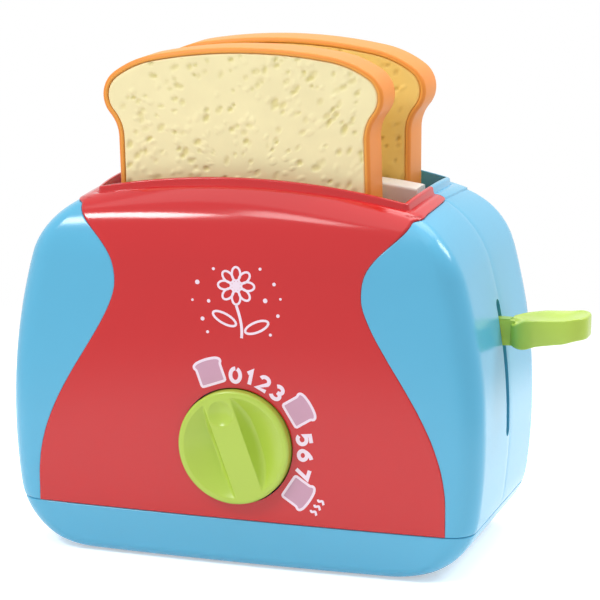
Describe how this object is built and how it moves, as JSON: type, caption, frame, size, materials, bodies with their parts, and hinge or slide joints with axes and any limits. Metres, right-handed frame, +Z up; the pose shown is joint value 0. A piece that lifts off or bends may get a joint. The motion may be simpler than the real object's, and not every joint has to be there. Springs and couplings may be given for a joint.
{
  "type": "toy toaster",
  "caption": "Toy pop-up toaster with a moulded body, hourglass front panel, turning dial, push-down side lever and play bread slices that lift out.",
  "frame": {"origin": "centre of the footprint on the rest plane, under the foot pads", "axes": "+Z up, -Y towards the front face with the dial, +X towards the lever"},
  "size_m": [0.221, 0.1008, 0.1974],
  "materials": {
    "blue_plastic": "satin gloss",
    "red_plastic": "satin gloss",
    "cream_plastic": "satin",
    "lime_plastic": "satin gloss",
    "crumb_plastic": "stippled",
    "crust_plastic": "stippled",
    "steel": "plain",
    "rubber": "matte"
  },
  "bodies": {
    "body": {"base_tray": "blue_plastic", "front_shell": "blue_plastic", "rear_shell": "blue_plastic", "front_panel": "red_plastic", "slot_divider": "cream_plastic", "guide_posts": "steel", "lift_spring_left": "steel", "lift_spring_right": "steel", "latch_pin": "steel", "foot_pads": "rubber", "base_screws": "steel", "shell_screws": "steel", "panel_clips": "steel", "post_screws": "steel"},
    "lift": {"carriage": "cream_plastic", "lever_handle": "lime_plastic", "lever_screw": "steel"},
    "latch": {"latch_hook": "cream_plastic"},
    "dial": {"timer_knob": "lime_plastic", "knob_shaft": "steel", "release_cam": "cream_plastic", "knob_screw": "steel", "shaft_ring": "steel"},
    "slice_front": {"bread_front_crumb": "crumb_plastic", "bread_front_crust": "crust_plastic"},
    "slice_rear": {"bread_rear_crumb": "crumb_plastic", "bread_rear_crust": "crust_plastic"}
  },
  "joints": [
    {"name": "lever_slide", "type": "slide", "parent": "body", "child": "lift", "axis": [0, 0, 1], "range_m": [-0.03, 0], "stiffness_N_per_m": 150, "springref_m": 0.045, "deforming": ["lift_spring_left", "lift_spring_right"]},
    {"name": "dial_turn", "type": "hinge", "parent": "body", "child": "dial", "pos_m": [0, 0, 0.0482], "axis": [0, 1, 0], "range_deg": [0, 145]},
    {"name": "latch_swing", "type": "hinge", "parent": "body", "child": "latch", "pos_m": [0.0146, 0, 0.023], "axis": [0, 1, 0], "range_deg": [-5.6, 0]},
    {"name": "slice_front_lift", "type": "slide", "parent": "lift", "child": "slice_front", "axis": [0, 0, 1], "range_m": [0, 0.09]},
    {"name": "slice_rear_lift", "type": "slide", "parent": "lift", "child": "slice_rear", "axis": [0, 0, 1], "range_m": [0, 0.09]}
  ],
  "couplings": [
    {"joint": "latch_swing", "follows": "dial_turn", "ratio": -0.0379}
  ]
}
